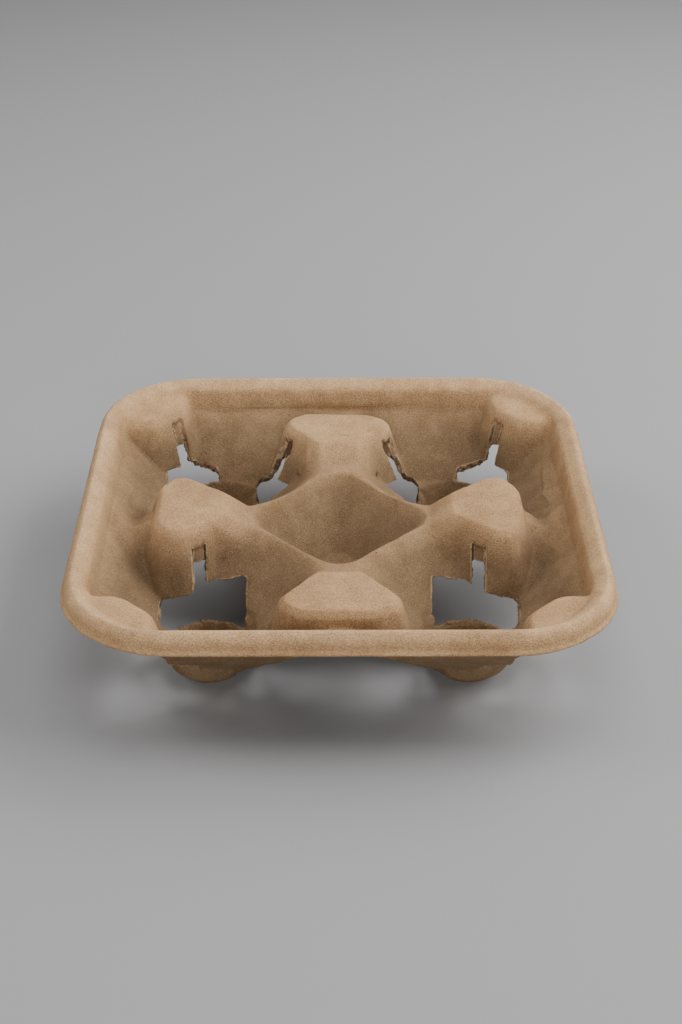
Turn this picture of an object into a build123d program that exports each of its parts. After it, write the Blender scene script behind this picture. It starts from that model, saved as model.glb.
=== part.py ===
from build123d import *
import os

# Outside sizes in millimetres; the origin is on the ground under the middle of the tray
tray_size = 216.0          # outer edge of the lip, both ways
corner_radius = 44.3       # outer edge of the lip in plan
wall = 2.2                 # thickness of the moulded fibre

# Heights of the rim, from its highest line downwards
crest_height = 53.0        # highest line of the rim, over the ground
skirt_height = 9.0         # from the crest to the lower edge of the out-turned lip
shelf_drop = 3.0           # from the crest to the inner end of the sloping rim top
wall_top_drop = 4.2        # from the crest to where the side wall begins
deck_drop = 13.5           # from the crest to the level that joins wells, bowl and posts

# Rim
lip_thickness = 1.3
lip_reach = 1.0            # how far the lip stands out from the skirt
skirt_lean = 0.4
skirt_round = 3.6          # height over which the skirt turns into the crest
crest_inset = 4.2          # from the lip's edge to the crest
shelf_inset = 8.8          # inner end of the sloping rim top
wall_top_inset = 10.2
wall_foot_inset = 12.2     # inner face of the side wall at the deck

deck_height = crest_height - deck_drop

# Wells
well_centre = 52.0         # from the middle of the tray, both ways
foot_radius = 11.0         # flat of the foot, inside
heel_radius = 14.6         # where the foot's rounded heel ends
heel_height = 3.2
pocket_radius = 19.4       # top of the steep foot pocket, where the well widens
pocket_height = 15.0
mouth_radius = 43.2        # round mouth just under the deck
mouth_drop = 1.4
edge_radius = 45.8         # where the mouth's soft edge meets the deck
well_side = 43.6           # half width of the squarer part, towards the side walls
well_web_side = 47.4       # the same towards the neighbouring wells
well_cut = 50.0            # corner left out of the squarer part, towards the bowl
pocket_side = 19.4         # half width of the squarer part at the pocket
pocket_corner = 6.0        # corners cut off in plan

# Centre bowl: a rounded diamond, as (depth under the deck, corner from the middle, rounding)
bowl_levels = [(25.5, 13.0, 4.5), (7.0, 35.0, 9.5), (0.0, 41.5, 11.0)]
bowl_spread = 1.0          # how far the corner moves out per millimetre of height at the deck

# Mid-side posts, half outline as (distance from the middle, half width)
post_rise = 6.5            # over the deck
post_outline = [(46.0, 9.2), (57.0, 19.0), (64.0, 24.0), (71.2, 23.4), (77.0, 14.5)]
post_shift = 5.2           # the front and back posts stand this much further out
post_base = 10.0
post_spread = 10.6         # widening at the base, from the top outline
post_shoulder = 2.8        # height of the bevel round the top
post_edge = 2.4            # how far the bevel draws the top in
post_corner = 1.5          # corners cut off in plan
nose_outline = [(24.0, 8.6), (31.0, 14.4), (57.0, 20.4)]    # foot of the slope towards the bowl
nose_drop = 9.5            # from the deck to that foot
nose_top_outline = [(47.8, 8.4), (54.5, 14.0), (60.0, 15.3)]

# Corner bosses, outline about the diagonal
boss_rise = 7.8            # over the deck
boss_face = 72.0           # sides of the boss, from the middle of the tray
boss_nose = 84.5           # where the diagonal face meets the sides
boss_outer = 104.0
boss_base = 14.0
boss_spread = 11.0         # widening at the base, from the shoulder
boss_shoulder = 3.6        # height of the bevel round the top
boss_edge = 2.6            # how far the bevel draws the top in
boss_corner = 2.6

# Grip slots, each with a recessed strip above it, and the cut-outs under the grips
slot_width = 4.7
slot_length = 34.0
slot_bottom = 15.0
slot_top = 31.0            # end of the open slot and start of the strip
strip_depth = 1.0
post_slot_place = 57.6     # along a side post
post_slot_from = 9.0       # across it, from its middle
post_strip_top = 37.4
end_slot_place = 65.0      # along the front and back posts
end_strip_top = 39.0
boss_slot_from = 58.0      # start of a boss's slot, both ways
boss_slot_aside = 5.0      # how far it sits off the diagonal
boss_strip_top = 42.0
side_hole = (38.5, 73.5, 16.0, 46.0)    # along the side post from and to, across it from and to
side_flap = (25.0, 17.4)                # height of its flaps' free edges, at the same two ends
end_hole = (54.0, 73.0, 16.0, 36.8)     # the same for the front and back posts
end_flap = (22.0, 20.0)
boss_hole_side = [(52.0, 52.0), (51.0, 62.0), (56.0, 76.0), (82.0, 82.0)]    # half of a boss's cut-out
boss_flap = 22.6
boss_hole_round = 20.0     # it stops at this radius round the well centre
hole_round = 17.5          # the posts' cut-outs stop at this radius
hole_corner = 4.0


def outline(points, height, spread, corner):
    """Closed outline at a height, widened by spread, with its corners cut off."""
    with BuildSketch(Plane.XY.offset(height)) as shape:
        with BuildLine():
            Polyline(*points, close=True)
        make_face()
        if spread:
            offset(amount=spread, kind=Kind.INTERSECTION, mode=Mode.REPLACE)
        if corner:
            chamfer(shape.vertices(), corner)
    return shape.sketch


def tray_outline(height, inset):
    """Rounded square of the tray at a height, drawn in from the lip's edge."""
    with BuildSketch(Plane.XY.offset(height)) as shape:
        side = tray_size - 2 * inset
        RectangleRounded(side, side, corner_radius - inset)
    return shape.sketch


def between(*outlines):
    """Solid with straight sides from each outline to the next."""
    with BuildPart() as body:
        loft(sections=outlines, ruled=True)
    return body.part


def corners(shape):
    """Corner points of a flat outline, in order round it."""
    return [edge @ 0 for edge in shape.face().outer_wire().order_edges()]


def faceted(low, high):
    """Solid with flat sides between two outlines whose edges run parallel."""
    start, end = corners(low), corners(high)
    count = len(start)
    turns = range(count)
    turn = min(turns, key=lambda k: sum((end[(i + k) % count] - start[i]).length for i in turns))
    end = end[turn:] + end[:turn]
    sides = [Face(Wire.make_polygon([start[i - 1], start[i], end[i], end[i - 1]])) for i in turns]
    return Solid(Shell([low.face(), high.face(), *sides]))


def turned(points, grow):
    """Body of revolution about Z from a half outline, grown all round."""
    with BuildPart() as body:
        with BuildSketch(Plane.XZ):
            with BuildLine():
                Polyline(*points, close=True)
            make_face()
            if grow:
                offset(amount=grow, kind=Kind.INTERSECTION, mode=Mode.REPLACE)
                with Locations((0, -50)):
                    Rectangle(200, 200, align=(Align.MIN, Align.MIN), mode=Mode.INTERSECT)
        revolve(axis=Axis.Z)
    return body.part


def well_outline(side, web_side, cut):
    """Squarer part of a well about its centre, with the corner towards the bowl left out."""
    return [
        (side, side),
        (-web_side, side),
        (-web_side, cut - web_side),
        (cut - web_side, -web_side),
        (side, -web_side),
    ]


def well(grow):
    """Air in one well, in the corner of the tray where both directions are positive."""
    slope = (well_side - pocket_side) / (deck_height - pocket_height)
    slant = (1 + slope ** 2) ** 0.5
    above = deck_height + 2
    hollow = turned(
        [
            (0, wall),
            (foot_radius, wall),
            (heel_radius, wall + heel_height),
            (pocket_radius, pocket_height),
            (mouth_radius, deck_height - mouth_drop),
            (edge_radius, deck_height),
            (edge_radius, above),
            (0, above),
        ],
        grow,
    )
    spread = well_side - pocket_side
    low = well_outline(pocket_side, well_web_side - spread, well_cut - spread)
    squarer = faceted(
        outline(low, pocket_height - grow, grow * (slant - slope), pocket_corner),
        outline(low, deck_height, spread + grow * slant, pocket_corner),
    )
    reach = well_side + grow
    with BuildPart() as body:
        add(hollow)
        with Locations((reach, reach)):
            Box(150, 150, 150, align=(Align.MAX, Align.MAX, Align.CENTER), mode=Mode.INTERSECT)
        add(squarer)
    return body.part


def diamond(height, corner, radius):
    """Square standing on its corner, with its corners rounded, as a sketch at a height."""
    with BuildSketch(Plane.XY.offset(height)) as shape:
        side = corner * 2 ** 0.5
        RectangleRounded(side, side, radius, rotation=45)
    return shape.sketch


def bowl(grow):
    """Air in the centre bowl."""
    levels = [
        diamond(deck_height - depth - grow * 0.8, corner + grow * 0.8, radius + grow * 0.6)
        for depth, corner, radius in bowl_levels
    ]
    corner, radius = bowl_levels[-1][1:]
    rise = 1 + grow * 0.8
    lid_corner = corner + grow * 0.8 + rise * bowl_spread
    lid = diamond(deck_height + 1, lid_corner, radius + grow * 0.6 + rise * 0.3)
    return between(*levels, lid)


def mirrored_outline(half, shift=0.0):
    """Full outline from its half on one side of the X axis."""
    near = [(x + shift, y) for x, y in half]
    return near + [(x, -y) for x, y in reversed(near)]


def post(shift, shrink):
    """Post along +X; its sides lean outwards towards the base."""
    head = mirrored_outline(post_outline, shift)
    top = deck_height + post_rise - shrink
    shoulder = top - post_shoulder
    base = outline(head, post_base, post_spread - shrink, post_corner)
    waist = outline(head, shoulder, -shrink, post_corner)
    lid = outline(head, top, -post_edge - shrink * 0.6, post_corner)
    nose = mirrored_outline(nose_outline, shift)
    nose_foot = outline(nose, deck_height - nose_drop - shrink, -shrink * 0.5, 0)
    nose_head = outline(mirrored_outline(nose_top_outline, shift), top, -shrink * 0.5, 0)
    with BuildPart() as body:
        add(faceted(base, waist))
        add(faceted(waist, lid))
        add(between(nose_foot, nose_head))
    return body.part


def boss(shrink):
    """Corner boss where both directions are positive."""
    points = [
        (boss_outer, boss_outer),
        (boss_face, boss_outer),
        (boss_face, boss_nose),
        (boss_nose, boss_face),
        (boss_outer, boss_face),
    ]
    top = deck_height + boss_rise - shrink
    shoulder = top - boss_shoulder
    base = outline(points, boss_base, boss_spread - shrink * 0.9, boss_corner)
    waist = outline(points, shoulder, boss_edge - shrink * 0.9, boss_corner)
    lid = outline(points, top, -shrink * 0.4, boss_corner)
    with BuildPart() as body:
        add(faceted(base, waist))
        add(faceted(waist, lid))
    return body.part


def space_above(grow):
    """Air over a quarter of the tray inside the rim; grown by the wall it reaches the underside."""
    with BuildPart() as space:
        add(
            between(
                tray_outline(deck_height - grow, wall_foot_inset - grow),
                tray_outline(crest_height - wall_top_drop, wall_top_inset - grow),
            )
        )
        with Locations((well_centre, well_centre)):
            add(well(grow))
        add(post(0, grow), mode=Mode.SUBTRACT)
        add(post(post_shift, grow), rotation=(0, 0, 90), mode=Mode.SUBTRACT)
        add(bowl(grow))
        add(boss(grow), mode=Mode.SUBTRACT)
        Box(150, 150, 150, align=(Align.MIN, Align.MIN, Align.CENTER), mode=Mode.INTERSECT)
    return space.part


def rim_quarter():
    """Quarter of the rolled rim: lip, skirt, rounded crest and sloping top."""
    half = tray_size / 2
    turn_centre = half - corner_radius
    skirt = half - lip_reach
    crest = half - crest_inset
    shelf = half - shelf_inset
    wall_x = half - wall_top_inset
    lip_height = crest_height - skirt_height
    shelf_height = crest_height - shelf_drop
    fall = shelf_drop / (crest - shelf)
    drop = wall * (1 + fall ** 2) ** 0.5
    under = crest_height - drop - fall * wall / 2
    outside = [
        (skirt - wall, lip_height),
        (skirt, lip_height),
        (skirt - skirt_lean, crest_height - skirt_round),
        (crest, crest_height),
        (shelf, shelf_height),
        (wall_x, crest_height - wall_top_drop),
        (wall_x + wall / 2, shelf_height - drop + fall * (wall_x + wall / 2 - shelf)),
        (crest - wall / 2, under),
        (skirt - skirt_lean - wall, crest_height - skirt_round - wall / 2),
    ]
    with BuildSketch(Plane.XZ) as profile:
        with BuildLine():
            Polyline(*outside, close=True)
        make_face()
        for place, size in [(2, 3.2), (3, 3.6), (4, 2.2), (7, 1.2), (8, 1.0)]:
            x, z = outside[place]
            fillet([v for v in profile.vertices() if abs(v.X - x) + abs(v.Z - z) < 0.01], size)
        with Locations((half, lip_height)):
            Rectangle(lip_reach + wall / 2, lip_thickness, align=(Align.MAX, Align.MIN))
    with BuildPart() as side:
        with BuildSketch(Plane.XZ):
            add(profile.sketch)
        extrude(amount=-turn_centre)
    with BuildPart() as quarter:
        add(side.part)
        mirror(side.part, about=Plane(origin=(0, 0, 0), z_dir=(1, -1, 0)))
        with BuildSketch(Plane.XZ.offset(-turn_centre)):
            add(profile.sketch)
        revolve(axis=Axis((turn_centre, turn_centre, 0), (0, 0, 1)), revolution_arc=90)
    return quarter.part


def post_hole(span, flap):
    """Cutter for the cut-out under the grip of the post along +X; its top follows the flaps' edges."""
    start, end, near, far = span
    with BuildPart() as tool:
        with BuildSketch(Plane.XY.offset(-5)):
            with Locations((start, near)):
                RectangleRounded(end - start, far - near, hole_corner, align=(Align.MIN, Align.MIN))
            with Locations((well_centre, well_centre)):
                Circle(hole_round, mode=Mode.SUBTRACT)
        extrude(amount=60)
        with BuildSketch(Plane.XZ):
            with BuildLine():
                Polyline((start, -10), (start, flap[0]), (end, flap[1]), (end, -10), close=True)
            make_face()
        extrude(amount=-100, mode=Mode.INTERSECT)
    return tool.part


def boss_hole():
    """Upright cutter for the cut-out under the grip of a corner boss."""
    other_side = [(y, x) for x, y in boss_hole_side[-2:0:-1]]
    with BuildPart() as tool:
        with BuildSketch(Plane.XY.offset(-5)):
            with BuildLine():
                Polyline(*boss_hole_side, *other_side, close=True)
            make_face()
            with Locations((well_centre, well_centre)):
                Circle(boss_hole_round, mode=Mode.SUBTRACT)
        extrude(amount=boss_flap + 5)
    return tool.part


def slot(start, turn, bottom, top):
    """Upright cutter as wide as a slot, running from a point in the direction turned about Z."""
    with BuildPart() as tool:
        with Locations(Location((*start, bottom), (0, 0, turn))):
            Box(slot_length, slot_width, top - bottom, align=(Align.MIN, Align.CENTER, Align.MIN))
    return tool.part


def grip_slot(start, turn, top, body):
    """Open slot with a recessed strip above it, cut into the face of a body."""
    with BuildPart() as tool:
        add(slot(start, turn, slot_top, top))
        add(body, mode=Mode.SUBTRACT)
        add(slot(start, turn, slot_bottom, slot_top))
    return tool.part


def turned_over(body):
    """The same body for the front and back posts, along +Y."""
    return mirror(body, about=Plane(origin=(0, 0, 0), z_dir=(1, -1, 0)), mode=Mode.PRIVATE)


with BuildPart() as quarter:
    add(space_above(wall))
    add(space_above(0), mode=Mode.SUBTRACT)
    add(rim_quarter())
    add(post_hole(side_hole, side_flap), mode=Mode.SUBTRACT)
    add(turned_over(post_hole(end_hole, end_flap)), mode=Mode.SUBTRACT)
    add(boss_hole(), mode=Mode.SUBTRACT)
    side_slot = grip_slot((post_slot_place, post_slot_from), 90, post_strip_top, post(0, strip_depth))
    end_slot = grip_slot((end_slot_place, post_slot_from), 90, end_strip_top, post(post_shift, strip_depth))
    boss_slot = grip_slot(
        (boss_slot_from, boss_slot_from + boss_slot_aside), 45, boss_strip_top, boss(strip_depth)
    )
    add(side_slot, mode=Mode.SUBTRACT)
    add(turned_over(end_slot), mode=Mode.SUBTRACT)
    add(boss_slot, mode=Mode.SUBTRACT)

with BuildPart() as cup_carrier:
    add(quarter.part)
    mirror(about=Plane.YZ)
    mirror(about=Plane.XZ)

cup_carrier.part.label = "cup_carrier"
os.makedirs("parts", exist_ok=True)
export_step(cup_carrier.part, "parts/cup_carrier.step")
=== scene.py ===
import math

import bmesh
import bpy
from mathutils import Matrix, Vector
from mathutils.bvhtree import BVHTree


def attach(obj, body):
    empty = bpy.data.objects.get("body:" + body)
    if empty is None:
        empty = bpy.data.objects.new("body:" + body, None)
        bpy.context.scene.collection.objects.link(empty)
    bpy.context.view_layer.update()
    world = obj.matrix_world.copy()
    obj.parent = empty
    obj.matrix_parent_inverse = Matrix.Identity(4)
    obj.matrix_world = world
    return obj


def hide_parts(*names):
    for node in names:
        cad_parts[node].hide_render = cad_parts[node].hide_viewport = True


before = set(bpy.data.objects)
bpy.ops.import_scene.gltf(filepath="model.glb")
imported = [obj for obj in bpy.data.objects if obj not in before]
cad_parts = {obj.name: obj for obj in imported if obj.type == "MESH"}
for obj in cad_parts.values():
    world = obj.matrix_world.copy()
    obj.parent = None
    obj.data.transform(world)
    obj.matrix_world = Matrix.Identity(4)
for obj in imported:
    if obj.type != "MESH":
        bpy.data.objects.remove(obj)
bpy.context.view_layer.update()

# Every size is in metres. The tray's form, as the solid has it
HALF_SIZE = 0.108            # of the tray, out to the lip's edge
CORNER_ROUND = 0.0443        # of the lip's edge in plan
LIP_HEIGHT = 0.044           # lower edge of the lip; the camera was measured from it
LIP_TOP = LIP_HEIGHT + 0.0026
LIP_WIDTH = 0.0034
WELL_CENTRE = 0.052          # from the middle of the tray, both ways
CUT_OUT_ROUND = 0.0175       # radius round a well's centre at which the posts' cut-outs stop
FOOT_EDGE_TOP = 0.014        # height below which that round edge lies
SLOT_TOP = 0.031             # where the open slots end and their strips begin
CUTS_WITHIN = 0.094          # from the middle: the cut-outs and slots lie inside it
CUT_HEIGHTS = (0.001, 0.0455)
HEAD_HEIGHTS = (0.0165, 0.0262)  # of the faces at the head of each cut-out
UPRIGHT = 0.002              # a face is upright when its normal climbs less than this
# the back post's strips get full painted shade, the others less
BACK_STRIPS_BEYOND = 0.05    # the back post's strips lie farther back than this
BACK_STRIPS_WITHIN = 0.03    # and no farther aside than this

# The moulded surface
GRAIN = 0.0006               # mesh size, before flat places are thinned
TRIANGLES = 196000           # of the finished tray
LEAST_WEIGHT = 0.004         # weights below this count as none
EDGE_GUARD = 0.004           # within this of a cut, folds are softened less
EDGE_FADE = 0.003            # how far from a cut the softening grows
TORN_REACH = 0.0013          # how far from a cut the torn fibre shows
FOOT_REACH = 0.009           # how far from a foot's edge its bead and groove show
FOOT_LINE_WIDTH = 0.0014     # half width of the bead and of the groove
BEAD_PLACE = 0.0014          # from the foot's edge
GROOVE_PLACE = 0.0050
RIM_FOOT = 0.0425            # height at which the rounding of the rim begins
RIM_WIDTH = 0.017            # from the lip's edge inwards
RIM_LOWEST = 0.040
BOSS_INNER = 0.068           # from the middle to the near side of a corner boss
BOSS_FOOT = 0.036            # height at which the rounding of a boss begins

# Middle and half width of a soft place, for bell(): far and near from the middle lines, and height
NOSE_FAR, NOSE_NEAR, NOSE_HEIGHT = (0.044, 0.011), (0.016, 0.008), (0.032, 0.008)
WALL_ACROSS, WALL_HEIGHT = (0.0915, 0.006), (0.033, 0.011)
POCKET_ACROSS, POCKET_ALONG, POCKET_HEIGHT = (0.0855, 0.0045), (0.003, 0.010), (0.038, 0.006)
POCKET_DEPTH = 0.0045        # of the hollow between a side wall and the post beside it
FOLD_LEAN = 0.12             # how much an upright fold leans along the wall

# Soft upright folds of the side walls: side, place along the wall, height of the fold, half width
WALL_FOLDS = [
    (1, 0.027, 0.0013, 0.0030),
    (1, 0.019, -0.0010, 0.0035),
    (1, -0.016, 0.0011, 0.0032),
    (1, -0.025, -0.0007, 0.0040),
    (-1, 0.031, 0.0010, 0.0035),
    (-1, 0.041, -0.0008, 0.0035),
    (-1, 0.020, -0.0009, 0.0035),
    (-1, -0.022, 0.0007, 0.0045),
]

# Long creases of the side walls: side, height at the middle, climb towards the back,
# place along the wall, half length, height of the crease, half width
WALL_CREASES = [
    (1, 0.0347, 0.026, 0.020, 0.040, 0.0013, 0.0012),
    (1, 0.0385, 0.030, 0.005, 0.035, -0.0007, 0.0016),
    (-1, 0.0350, 0.020, 0.010, 0.040, 0.0009, 0.0015),
    (-1, 0.0312, 0.020, 0.020, 0.035, -0.0008, 0.0016),
]

# Colours of the fibre, with painted shade for the recesses and a painted highlight for the rim's
# crest
# painted shade, darkest low in the recesses, and the fibre's colour on the tops
RECESS_PAINTED_SHADE = (0.200, 0.126, 0.067, 1)
TOP_PULP = (0.467, 0.282, 0.140, 1)
# painted highlight along the crest of the rim
RIM_PAINTED_HIGHLIGHT = (0.600, 0.400, 0.235, 1)
DARK_SPECK = (0.085, 0.048, 0.024, 1)
PALE_FLAKE = (0.62, 0.48, 0.33, 1)
# painted shade on the faces of the tears
TORN_FACE_PAINTED_SHADE = (0.090, 0.052, 0.027, 1)
# painted shade in the slits and recessed strips
SLIT_PAINTED_SHADE = (0.060, 0.034, 0.018, 1)

# Tints that a colour is multiplied by: the darkest and the lightest
BLOTCH_TINTS = (0.84, 0.82, 0.80, 1), (1.16, 1.18, 1.20, 1)
FELT_TINTS = (0.64, 0.62, 0.58, 1), (1.35, 1.37, 1.40, 1)
TORN_TINTS = (1, 1, 1, 1), (1.75, 1.90, 2.10, 1)

# Square soft lights round the tray: name, place, side length, power in watts
LIGHTS_AIM = (0, 0, 0.03)
SOFT_LIGHTS = [
    ("window side", (0.9, 0.1, 0.8), 0.9, 17.0),
    ("window side low", (1.1, 0.0, 0.4), 0.6, 1.5),
    ("window side back", (0.65, 0.65, 0.8), 0.6, 6.0),
    ("back", (0.0, 0.9, 0.8), 0.6, 2.0),
    ("far side", (-0.9, 0.1, 0.8), 0.6, 6.5),
    ("front", (0.0, -1.15, 0.4), 0.6, 8.2),
    ("overhead", (0.0, 0.0, 1.2), 0.6, 4.5),
]
ROOM_LIGHT = 0.15
FLOOR_COLOUR = (0.280, 0.276, 0.278, 1)
FLOOR_HALF_SIZE = 6.0

# The photograph's camera: angles in radians, and its place seen from the middle of the lip
CLIMB, TURN, TILT = 0.5396, 0.0104, 0.0046
ASIDE, ALONG, AWAY = 0.000955, -0.002177, 0.73484
FOCAL_PIXELS = 1750.04
PHOTO_HEIGHT = 1024
SENSOR_HEIGHT = 36.0         # millimetres


class Socket:
    """A node's output that answers to + - * so that shader formulas read as formulas."""

    def __init__(self, paint, link):
        self.paint = paint
        self.link = link

    def _math(self, operation, *values):
        node = self.paint.nodes.new("ShaderNodeMath")
        node.operation = operation
        for socket, value in zip(node.inputs, values):
            self.paint.feed(socket, value)
        return Socket(self.paint, node.outputs[0])

    def __add__(self, other):
        return self._math("ADD", self, other)

    def __radd__(self, other):
        return self._math("ADD", other, self)

    def __sub__(self, other):
        return self._math("SUBTRACT", self, other)

    def __rsub__(self, other):
        return self._math("SUBTRACT", other, self)

    def __mul__(self, other):
        return self._math("MULTIPLY", self, other)

    def __rmul__(self, other):
        return self._math("MULTIPLY", other, self)

    def between(self, low, high):
        """0 at low, 1 at high, smooth in between."""
        return self.paint.make(
            "ShaderNodeMapRange",
            {"Value": self, "From Min": low, "From Max": high},
            output="Result",
            interpolation_type="SMOOTHSTEP",
        )


class Paint:
    """A material being built, with its nodes and links."""

    def __init__(self, name):
        self.material = bpy.data.materials.new(name)
        self.material.use_nodes = True
        self.nodes = self.material.node_tree.nodes
        self.links = self.material.node_tree.links
        self.shader = self.nodes["Principled BSDF"]
        self.where = self.make("ShaderNodeTexCoord", output="Object")

    def feed(self, socket, value):
        if isinstance(value, Socket):
            self.links.new(value.link, socket)
        else:
            socket.default_value = value

    def surface(self, **values):
        """Feeds the shader's own sockets; an underscore in a name stands for a space."""
        for name, value in values.items():
            self.feed(self.shader.inputs[name.replace("_", " ")], value)

    def make(self, kind, inputs=None, output=0, **settings):
        node = self.nodes.new(kind)
        for name, value in settings.items():
            setattr(node, name, value)
        for name, value in (inputs or {}).items():
            self.feed(node.inputs[name], value)
        return Socket(self, node.outputs[output])

    def attribute(self, name):
        return self.make("ShaderNodeAttribute", output="Fac", attribute_name=name)

    def noise(self, scale, detail, roughness, where=None):
        return self.make(
            "ShaderNodeTexNoise",
            {
                "Vector": where or self.where,
                "Scale": scale,
                "Detail": detail,
                "Roughness": roughness,
            },
        )

    def mix(self, factor, first, second, blend="MIX"):
        # sockets 0, 6 and 7 of a Mix node are its factor and two colours, and output 2 its colour
        return self.make(
            "ShaderNodeMix",
            {0: factor, 6: first, 7: second},
            output=2,
            data_type="RGBA",
            blend_type=blend,
        )

    def shaded(self, colour, factor, tints):
        """A colour made darker or lighter, from the first tint at 0 to the second at 1."""
        return self.mix(1.0, colour, self.mix(factor, *tints), "MULTIPLY")

    def bump(self, height, distance, strength, over=None):
        inputs = {"Height": height, "Distance": distance, "Strength": strength}
        if over:
            inputs["Normal"] = over
        return self.make("ShaderNodeBump", inputs)


def moulded_fibre():
    """Matt brown moulded fibre: felted surface, fine specks, soft blotches, paler torn edges,
    painted shade in the recesses, slits and torn faces, and a painted highlight on the rim's
    crest.
    """
    paint = Paint("moulded fibre")
    torn = paint.attribute("torn")
    slit = paint.attribute("slit")
    strip = paint.attribute("strip")
    height = paint.make("ShaderNodeSeparateXYZ", {"Vector": paint.where}, output="Z")
    blotch = paint.noise(26, 3, 0.55)
    patch = paint.noise(120, 4, 0.6)
    grain = paint.noise(2400, 3, 0.65)
    specks = paint.noise(2700, 2, 0.5)
    flakes = paint.noise(2000, 2, 0.5)
    stretch = paint.make(
        "ShaderNodeMapping",
        {"Vector": paint.where, "Scale": (1.0, 3.2, 2.0), "Rotation": (0.3, 0.2, 0.7)},
    )
    fibres = paint.noise(1000, 4, 0.7, stretch)
    mottle = blotch * 0.5 + patch * 0.5
    felt = grain * 0.55 + fibres * 0.45

    # painted shade: the fibre darker towards the bottom of the recesses; a painted highlight on
    # the crest of the rim
    colour = paint.mix(height.between(0.029, 0.053), RECESS_PAINTED_SHADE, TOP_PULP)
    colour = paint.mix(height.between(0.0480, 0.0525) * 0.35, colour, RIM_PAINTED_HIGHLIGHT)
    colour = paint.shaded(colour, mottle.between(0.34, 0.66), BLOTCH_TINTS)
    colour = paint.shaded(colour, felt.between(0.36, 0.64), FELT_TINTS)
    colour = paint.mix(specks.between(0.61, 0.73) * 0.55, colour, DARK_SPECK)
    colour = paint.mix(flakes.between(0.62, 0.74) * 0.45, colour, PALE_FLAKE)

    # a pale line beside each tear, which the feet don't show, and painted shade on the torn face
    torn_face_shade = torn.between(0.72, 0.95)
    pale_line = (torn.between(0.20, 0.50) - torn_face_shade) * height.between(0.012, 0.022)
    colour = paint.shaded(colour, pale_line, TORN_TINTS)
    colour = paint.mix(torn_face_shade * 0.55, colour, TORN_FACE_PAINTED_SHADE)
    # painted shade in the recessed strips, strongest on the back post, and in the slits beside
    # them
    colour = paint.mix(strip * 0.85, colour, SLIT_PAINTED_SHADE)
    colour = paint.mix(slit.between(0.35, 0.90) * 0.8, colour, SLIT_PAINTED_SHADE)

    normal = paint.bump(patch, 0.0012, 0.3)
    normal = paint.bump(felt, 0.0008, 0.8, normal)
    normal = paint.bump(specks, 0.0004, 0.5, normal)
    paint.surface(Base_Color=colour, Roughness=0.95, Specular_IOR_Level=0.15, Normal=normal)
    return paint.material


def add_to_scene(thing):
    bpy.context.scene.collection.objects.link(thing)


def settled(piece):
    """Makes the modifiers of a piece part of its mesh."""
    graph = bpy.context.evaluated_depsgraph_get()
    mesh = bpy.data.meshes.new_from_object(piece.evaluated_get(graph))
    piece.modifiers.clear()
    old = piece.data
    piece.data = mesh
    bpy.data.meshes.remove(old)


def tree_of(mesh, wanted):
    """Search tree of the faces of a mesh that are wanted."""
    corners, faces = [], []
    for face in mesh.polygons:
        if wanted(face):
            faces.append(list(range(len(corners), len(corners) + len(face.vertices))))
            corners += [mesh.vertices[i].co.copy() for i in face.vertices]
    return BVHTree.FromPolygons(corners, faces)


def is_upright(face):
    return abs(face.normal.z) < UPRIGHT


def is_cut(face):
    """Faces that the cut-outs and slots leave: upright, or facing down at their heads."""
    centre = face.center
    inside = max(abs(centre.x), abs(centre.y)) < CUTS_WITHIN
    at_cut_height = CUT_HEIGHTS[0] < centre.z < CUT_HEIGHTS[1]
    heads_cut_out = HEAD_HEIGHTS[0] < centre.z < HEAD_HEIGHTS[1]
    heads_slot = abs(centre.z - SLOT_TOP) < 0.0003
    head = face.normal.z < -0.95 and (heads_cut_out or heads_slot)
    return inside and at_cut_height and (is_upright(face) or head)


def is_slit(face):
    """Upright faces at the two sides and the top of each recessed strip."""
    return is_cut(face) and is_upright(face) and face.center.z > SLOT_TOP + 0.0005


def is_foot_edge(face):
    """Upright faces where the posts' cut-outs end, at the foot of a well."""
    centre = face.center
    away = Vector((abs(centre.x) - WELL_CENTRE, abs(centre.y) - WELL_CENTRE)).length
    return is_upright(face) and abs(away - CUT_OUT_ROUND) < 0.0004 and centre.z < FOOT_EDGE_TOP


def from_the_edge(place):
    """Distance from the lip's outer edge inwards, in plan."""
    middle = HALF_SIZE - CORNER_ROUND
    aside, along = abs(place.x) - middle, abs(place.y) - middle
    if aside > 0 and along > 0:
        return CORNER_ROUND - math.hypot(aside, along)
    return CORNER_ROUND - max(aside, along)


def distance_to(tree, place, reach):
    """Distance to the nearest face of a tree, or the reach where there is none so near."""
    found = tree.find_nearest(place, reach)
    return reach if found[0] is None else found[3]


def weigh(piece, name, weight):
    """Vertex group whose weights come from a function of each vertex's place."""
    group = piece.vertex_groups.new(name=name)
    for index, vertex in enumerate(piece.data.vertices):
        value = weight(vertex.co)
        if value > LEAST_WEIGHT:
            group.add([index], min(value, 1.0), "REPLACE")


def smoothed(piece, name, times, group=""):
    smooth = piece.modifiers.new(name, "SMOOTH")
    smooth.factor = 0.5
    smooth.iterations = times
    smooth.vertex_group = group


def raised(piece, name, height, group):
    lift = piece.modifiers.new(name, "DISPLACE")
    lift.strength = height
    lift.mid_level = 0.0
    lift.vertex_group = group


def undulation(piece, name, size, strength, group=""):
    cloud = bpy.data.textures.new(name, "CLOUDS")
    cloud.noise_scale = size
    cloud.noise_depth = 2
    displace = piece.modifiers.new(name, "DISPLACE")
    displace.texture = cloud
    displace.texture_coords = "LOCAL"
    displace.strength = strength
    displace.mid_level = 0.5
    displace.vertex_group = group


def bell(value, middle, width):
    return math.exp(-(((value - middle) / width) ** 2))


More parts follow.
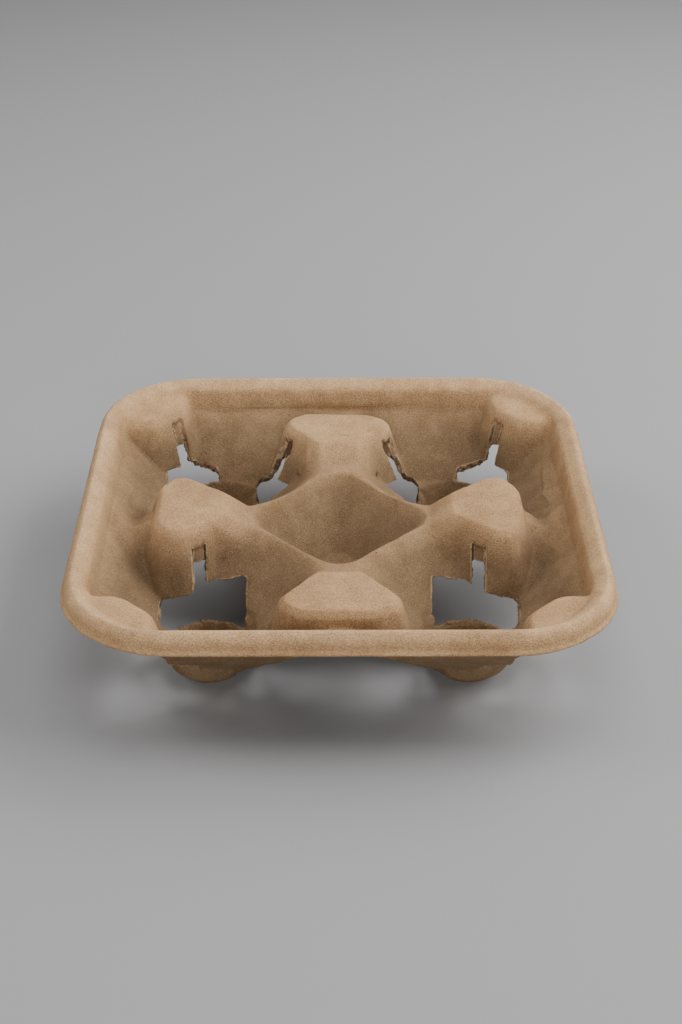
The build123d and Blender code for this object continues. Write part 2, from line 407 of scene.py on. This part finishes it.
def folded(mesh):
    """Bends both faces of the side walls together, and presses a pocket behind each side post."""
    for vertex in mesh.vertices:
        place = vertex.co
        near_wall = bell(abs(place.x), *WALL_ACROSS) * bell(place.z, *WALL_HEIGHT)
        if near_wall > 0.02:
            side = 1 if place.x > 0 else -1
            leaning = place.y + (place.z - WALL_HEIGHT[0]) * FOLD_LEAN
            shift = sum(
                height * bell(leaning, middle, width)
                for which, middle, height, width in WALL_FOLDS
                if which == side
            )
            shift += sum(
                height
                * bell(place.z, level + climb * place.y, width)
                * bell(place.y, middle, reach)
                for which, level, climb, middle, reach, height, width in WALL_CREASES
                if which == side
            )
            place.x -= side * shift * near_wall
        pocket = (
            bell(abs(place.x), *POCKET_ACROSS)
            * bell(place.y, *POCKET_ALONG)
            * bell(place.z, *POCKET_HEIGHT)
        )
        if pocket > 0.01:
            place.z -= POCKET_DEPTH * pocket


def thinned(piece, group):
    """Fewer triangles, apart from those between vertices that are outside the group."""
    piece.data.calc_loop_triangles()
    thin = piece.modifiers.new("fewer where plain", "DECIMATE")
    thin.ratio = TRIANGLES / len(piece.data.loop_triangles)
    thin.vertex_group = group
    thin.vertex_group_factor = 0.0
    thin.use_collapse_triangulate = True
    settled(piece)


def moulded_tray():
    """The tray as one closed mesh with softened folds, a hand-made unevenness and torn edges."""
    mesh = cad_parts["cup_carrier"].data.copy()
    mesh.materials.clear()
    body = bmesh.new()
    body.from_mesh(mesh)
    bmesh.ops.remove_doubles(body, verts=body.verts, dist=1e-5)
    body.to_mesh(mesh)
    body.free()
    cuts = tree_of(mesh, is_cut)
    slits = tree_of(mesh, is_slit)
    foot_edges = tree_of(mesh, is_foot_edge)
    tray = bpy.data.objects.new("tray", mesh)
    add_to_scene(tray)

    remesh = tray.modifiers.new("even mesh", "REMESH")
    remesh.mode = "VOXEL"
    remesh.voxel_size = GRAIN
    settled(tray)

    def on_the_lip(place):
        return from_the_edge(place) < LIP_WIDTH and place.z < LIP_TOP

    def off_the_edges(place):
        if on_the_lip(place):
            return 0.0
        return distance_to(cuts, place, EDGE_GUARD) / EDGE_FADE - 0.15

    def near_the_rim(place):
        if on_the_lip(place) or place.z < RIM_LOWEST:
            return 0.0
        return min((place.z - RIM_FOOT) / 0.003, (RIM_WIDTH - from_the_edge(place)) / 0.004)

    def on_a_boss(place):
        aside = min(abs(place.x), abs(place.y))
        inwards, up = (aside - BOSS_INNER) / 0.006, (place.z - BOSS_FOOT) / 0.004
        return min(inwards, up, 1.0) * off_the_edges(place)

    def below_a_nose(place):
        near, far = sorted((abs(place.x), abs(place.y)))
        below = 1.6 * bell(far, *NOSE_FAR) * bell(near, *NOSE_NEAR) * bell(place.z, *NOSE_HEIGHT)
        return below * off_the_edges(place)

    def beside_a_strip(place):
        return 1.2 - distance_to(slits, place, 0.0011) / 0.0009

    weigh(tray, "folds", off_the_edges)
    weigh(tray, "rim", near_the_rim)
    weigh(tray, "bosses", on_a_boss)
    weigh(tray, "below the noses", below_a_nose)
    weigh(tray, "slits", beside_a_strip)
    raised(tray, "cut line beside each strip", -0.0012, "slits")
    smoothed(tray, "voxel steps", 2)
    smoothed(tray, "soft folds", 5, "folds")
    smoothed(tray, "round rim", 45, "rim")
    smoothed(tray, "soft bosses", 34, "bosses")
    smoothed(tray, "soft under the noses", 60, "below the noses")
    settled(tray)
    folded(tray.data)

    def torn(place):
        return 1 - distance_to(cuts, place, TORN_REACH) / TORN_REACH

    def on_the_bead(place):
        return bell(distance_to(foot_edges, place, FOOT_REACH), BEAD_PLACE, FOOT_LINE_WIDTH)

    def in_the_groove(place):
        return bell(distance_to(foot_edges, place, FOOT_REACH), GROOVE_PLACE, FOOT_LINE_WIDTH)

    def away_from_cuts(place):
        return 0.0 if distance_to(cuts, place, TORN_REACH) < TORN_REACH else 1.0

    weigh(tray, "torn edge", torn)
    weigh(tray, "bead", on_the_bead)
    weigh(tray, "groove", in_the_groove)
    raised(tray, "bead along the foot edge", 0.0005, "bead")
    raised(tray, "groove behind the bead", -0.0006, "groove")
    undulation(tray, "torn fibres", 0.0013, 0.0018, "torn edge")
    undulation(tray, "ragged tear", 0.0042, 0.0022, "torn edge")
    settled(tray)
    weigh(tray, "plain", away_from_cuts)
    thinned(tray, "plain")
    undulation(tray, "hand of the mould", 0.045, 0.0012)
    undulation(tray, "press marks", 0.012, 0.0005)
    settled(tray)

    # where painted shade falls in the slits beside each strip
    def in_a_slit(place):
        if place.z <= SLOT_TOP:
            return 0.0
        return max(0.0, 1 - distance_to(slits, place, 0.0016) / 0.0013)

    # painted shade on a strip: full on the back post, weaker elsewhere
    def in_a_strip(place):
        nearest, facing, _, _ = slits.find_nearest(place, 0.0024)
        if nearest is None or place.z < SLOT_TOP or (place - nearest).dot(facing) < 0.0001:
            return 0.0
        on_the_back_post = place.y > BACK_STRIPS_BEYOND and abs(place.x) < BACK_STRIPS_WITHIN
        return 1.0 if on_the_back_post else 0.35

    # masks for the material: the tears' pale line and painted shade, and painted shade in slits
    # and strips
    for name, measure in (("torn", torn), ("slit", in_a_slit), ("strip", in_a_strip)):
        values = tray.data.attributes.new(name, "FLOAT", "POINT")
        values.data.foreach_set("value", [measure(vertex.co) for vertex in tray.data.vertices])
    for face in tray.data.polygons:
        face.use_smooth = True
    return tray


def place_camera():
    """Camera of the photograph, from its measured height, turn and distance."""
    data = bpy.data.cameras.new("camera")
    data.sensor_fit = "VERTICAL"
    data.sensor_height = SENSOR_HEIGHT
    data.lens = FOCAL_PIXELS * SENSOR_HEIGHT / PHOTO_HEIGHT
    data.clip_start = 0.01
    data.clip_end = 20
    camera = bpy.data.objects.new("camera", data)
    add_to_scene(camera)
    right = Vector((1, 0, 0))
    up = Vector((0, math.sin(CLIMB), math.cos(CLIMB)))
    back = Vector((0, -math.cos(CLIMB), math.sin(CLIMB)))
    place = right * ASIDE + up * ALONG + back * AWAY
    tilted_right = right * math.cos(TILT) + up * math.sin(TILT)
    tilted_up = up * math.cos(TILT) - right * math.sin(TILT)
    facing = Matrix((tilted_right, tilted_up, back)).transposed().to_4x4()
    camera.matrix_world = (
        Matrix.Translation((0, 0, LIP_HEIGHT))
        @ Matrix.Rotation(-TURN, 4, "Z")
        @ Matrix.Translation(place)
        @ facing
    )
    bpy.context.scene.camera = camera


def lamp(name, place, size, power):
    data = bpy.data.lights.new(name, "AREA")
    data.size = size
    data.energy = power
    light = bpy.data.objects.new(name, data)
    add_to_scene(light)
    light.location = place
    light.rotation_euler = (Vector(place) - Vector(LIGHTS_AIM)).to_track_quat("Z", "Y").to_euler()


def studio():
    """A plain pale floor, the soft lights and a faint light from all round."""
    paint = Paint("pale floor")
    paint.surface(Base_Color=FLOOR_COLOUR, Roughness=0.75, Specular_IOR_Level=0.2)
    mesh = bpy.data.meshes.new("floor")
    body = bmesh.new()
    bmesh.ops.create_grid(body, x_segments=1, y_segments=1, size=FLOOR_HALF_SIZE)
    body.to_mesh(mesh)
    body.free()
    floor = bpy.data.objects.new("floor", mesh)
    mesh.materials.append(paint.material)
    add_to_scene(floor)

    for light in SOFT_LIGHTS:
        lamp(*light)
    world = bpy.data.worlds.new("soft room")
    world.use_nodes = True
    background = world.node_tree.nodes["Background"]
    background.inputs["Color"].default_value = (1.0, 1.0, 1.0, 1)
    background.inputs["Strength"].default_value = ROOM_LIGHT
    bpy.context.scene.world = world


tray = moulded_tray()
tray.data.materials.append(moulded_fibre())
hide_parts("cup_carrier")
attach(tray, "root")

studio()
place_camera()
